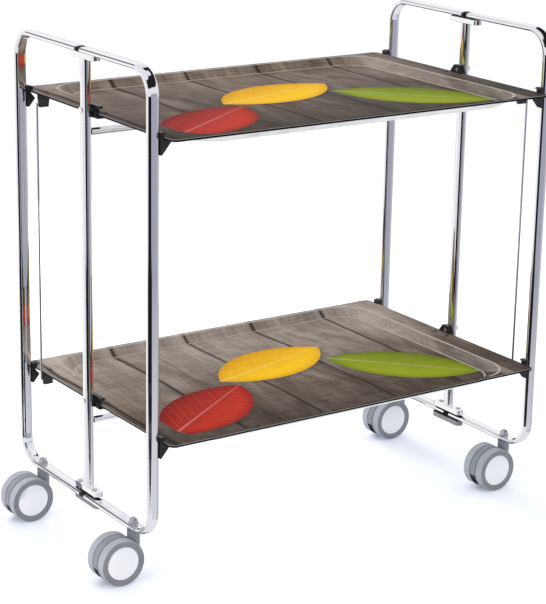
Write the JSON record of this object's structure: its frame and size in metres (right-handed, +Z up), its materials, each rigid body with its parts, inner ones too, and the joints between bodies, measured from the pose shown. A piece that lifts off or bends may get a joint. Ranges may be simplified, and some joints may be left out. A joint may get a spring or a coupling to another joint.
{
  "type": "kitchen cart",
  "caption": "Folding serving cart with two shallow trays that tilt together between chrome half frames on twin-wheel swivel casters.",
  "frame": {"origin": "middle of the footprint on the floor under the wheels", "axes": "+X along the trays to the right, -Y the front, +Z up"},
  "size_m": [0.6928, 0.396, 0.6793],
  "materials": {
    "chrome": "bright chrome plate on steel tube and pressings",
    "grey_steel": "dull zinc-plated pressing",
    "pin_steel": "turned zinc-plated steel",
    "rivet_steel": "dark browned rivet heads",
    "link_wire": "drawn steel wire",
    "tray": "moulded tray with a printed plank pattern and leaf motifs under a satin gloss, dark underside",
    "black_plastic": "moulded black plastic",
    "caster_grey": "moulded grey plastic housing",
    "wheel_grey": "grey plastic wheel with a bright disc"
  },
  "bodies": {
    "centre_frame": {"left_post": "chrome", "right_post": "chrome", "left_top_channel": "chrome", "right_top_channel": "chrome", "left_foot_channel": "chrome", "right_foot_channel": "chrome", "lower_channels": "grey_steel", "hinge_pins": "pin_steel", "tray_pivot_pins": "pin_steel"},
    "upper_tray_group": {"upper_tray": "tray", "upper_tray_rod": "chrome", "upper_rod_clamps": "black_plastic", "upper_pivot_blocks": "black_plastic", "upper_rivets": "rivet_steel", "upper_link_clips": "black_plastic"},
    "lower_tray_group": {"lower_tray": "tray", "lower_tray_rod": "chrome", "lower_rod_clamps": "black_plastic", "lower_pivot_blocks": "black_plastic", "lower_rivets": "rivet_steel", "lower_link_clips": "black_plastic"},
    "left_link": {"left_link_rod": "link_wire"},
    "right_link": {"right_link_rod": "link_wire"},
    "left_front_frame": {"left_front_tube": "chrome", "left_front_plugs": "black_plastic", "left_front_brackets": "black_plastic", "left_front_caster_bolt": "chrome"},
    "left_rear_frame": {"left_rear_tube": "chrome", "left_rear_plugs": "black_plastic", "left_rear_brackets": "black_plastic", "left_rear_caster_bolt": "chrome"},
    "right_front_frame": {"right_front_tube": "chrome", "right_front_plugs": "black_plastic", "right_front_brackets": "black_plastic", "right_front_caster_bolt": "chrome"},
    "right_rear_frame": {"right_rear_tube": "chrome", "right_rear_plugs": "black_plastic", "right_rear_brackets": "black_plastic", "right_rear_caster_bolt": "chrome"},
    "left_front_caster": {"left_front_caster_housing": "caster_grey", "left_front_axle": "pin_steel"},
    "left_front_near_wheel_spinner": {"left_front_near_wheel": "wheel_grey"},
    "left_front_far_wheel_spinner": {"left_front_far_wheel": "wheel_grey"},
    "left_rear_caster": {"left_rear_caster_housing": "caster_grey", "left_rear_axle": "pin_steel"},
    "left_rear_near_wheel_spinner": {"left_rear_near_wheel": "wheel_grey"},
    "left_rear_far_wheel_spinner": {"left_rear_far_wheel": "wheel_grey"},
    "right_front_caster": {"right_front_caster_housing": "caster_grey", "right_front_axle": "pin_steel"},
    "right_front_near_wheel_spinner": {"right_front_near_wheel": "wheel_grey"},
    "right_front_far_wheel_spinner": {"right_front_far_wheel": "wheel_grey"},
    "right_rear_caster": {"right_rear_caster_housing": "caster_grey", "right_rear_axle": "pin_steel"},
    "right_rear_near_wheel_spinner": {"right_rear_near_wheel": "wheel_grey"},
    "right_rear_far_wheel_spinner": {"right_rear_far_wheel": "wheel_grey"}
  },
  "joints": [
    {"name": "upper_tray_tilt", "type": "hinge", "parent": "centre_frame", "child": "upper_tray_group", "pos_m": [0.02438, 0, 0.5975], "axis": [-1, 0, 0], "range_deg": [0, 70]},
    {"name": "lower_tray_tilt", "type": "hinge", "parent": "centre_frame", "child": "lower_tray_group", "pos_m": [0.02438, 0, 0.2057], "axis": [-1, 0, 0], "range_deg": [0, 70]},
    {"name": "left_link_pivot", "type": "hinge", "parent": "upper_tray_group", "child": "left_link", "pos_m": [-0.27763, 0.148, 0.5805], "axis": [1, 0, 0], "range_deg": [0, 70]},
    {"name": "right_link_pivot", "type": "hinge", "parent": "upper_tray_group", "child": "right_link", "pos_m": [0.32638, -0.148, 0.5805], "axis": [1, 0, 0], "range_deg": [0, 70]},
    {"name": "left_front_swing", "type": "hinge", "parent": "centre_frame", "child": "left_front_frame", "pos_m": [-0.28763, -0.02, 0.072], "axis": [0, 0, -1], "range_deg": [0, 66]},
    {"name": "left_rear_swing", "type": "hinge", "parent": "centre_frame", "child": "left_rear_frame", "pos_m": [-0.28763, 0.02, 0.072], "axis": [0, 0, 1], "range_deg": [0, 66]},
    {"name": "right_front_swing", "type": "hinge", "parent": "centre_frame", "child": "right_front_frame", "pos_m": [0.33637, -0.02, 0.072], "axis": [0, 0, 1], "range_deg": [0, 66]},
    {"name": "right_rear_swing", "type": "hinge", "parent": "centre_frame", "child": "right_rear_frame", "pos_m": [0.33637, 0.02, 0.072], "axis": [0, 0, -1], "range_deg": [0, 66]},
    {"name": "left_front_swivel", "type": "hinge", "parent": "left_front_frame", "child": "left_front_caster", "pos_m": [-0.28913, -0.125, 0.06], "axis": [0, 0, 1], "continuous": true},
    {"name": "left_front_near_wheel_spin", "type": "hinge", "parent": "left_front_caster", "child": "left_front_near_wheel_spinner", "pos_m": [-0.31512, -0.13825, 0.03125], "axis": [0, 1, 0], "continuous": true},
    {"name": "left_front_far_wheel_spin", "type": "hinge", "parent": "left_front_caster", "child": "left_front_far_wheel_spinner", "pos_m": [-0.31512, -0.11175, 0.03125], "axis": [0, 1, 0], "continuous": true},
    {"name": "left_rear_swivel", "type": "hinge", "parent": "left_rear_frame", "child": "left_rear_caster", "pos_m": [-0.28913, 0.125, 0.06], "axis": [0, 0, 1], "continuous": true},
    {"name": "left_rear_near_wheel_spin", "type": "hinge", "parent": "left_rear_caster", "child": "left_rear_near_wheel_spinner", "pos_m": [-0.31512, 0.11175, 0.03125], "axis": [0, 1, 0], "continuous": true},
    {"name": "left_rear_far_wheel_spin", "type": "hinge", "parent": "left_rear_caster", "child": "left_rear_far_wheel_spinner", "pos_m": [-0.31512, 0.13825, 0.03125], "axis": [0, 1, 0], "continuous": true},
    {"name": "right_front_swivel", "type": "hinge", "parent": "right_front_frame", "child": "right_front_caster", "pos_m": [0.33787, -0.125, 0.06], "axis": [0, 0, 1], "continuous": true},
    {"name": "right_front_near_wheel_spin", "type": "hinge", "parent": "right_front_caster", "child": "right_front_near_wheel_spinner", "pos_m": [0.31188, -0.13825, 0.03125], "axis": [0, 1, 0], "continuous": true},
    {"name": "right_front_far_wheel_spin", "type": "hinge", "parent": "right_front_caster", "child": "right_front_far_wheel_spinner", "pos_m": [0.31188, -0.11175, 0.03125], "axis": [0, 1, 0], "continuous": true},
    {"name": "right_rear_swivel", "type": "hinge", "parent": "right_rear_frame", "child": "right_rear_caster", "pos_m": [0.33787, 0.125, 0.06], "axis": [0, 0, 1], "continuous": true},
    {"name": "right_rear_near_wheel_spin", "type": "hinge", "parent": "right_rear_caster", "child": "right_rear_near_wheel_spinner", "pos_m": [0.31188, 0.11175, 0.03125], "axis": [0, 1, 0], "continuous": true},
    {"name": "right_rear_far_wheel_spin", "type": "hinge", "parent": "right_rear_caster", "child": "right_rear_far_wheel_spinner", "pos_m": [0.31188, 0.13825, 0.03125], "axis": [0, 1, 0], "continuous": true}
  ],
  "couplings": [
    {"joint": "lower_tray_tilt", "follows": "upper_tray_tilt", "ratio": 1},
    {"joint": "left_link_pivot", "follows": "upper_tray_tilt", "ratio": 1},
    {"joint": "right_link_pivot", "follows": "upper_tray_tilt", "ratio": 1},
    {"joint": "left_front_swing", "follows": "upper_tray_tilt", "ratio": 0.94},
    {"joint": "left_rear_swing", "follows": "upper_tray_tilt", "ratio": 0.94},
    {"joint": "right_front_swing", "follows": "upper_tray_tilt", "ratio": 0.94},
    {"joint": "right_rear_swing", "follows": "upper_tray_tilt", "ratio": 0.94}
  ]
}
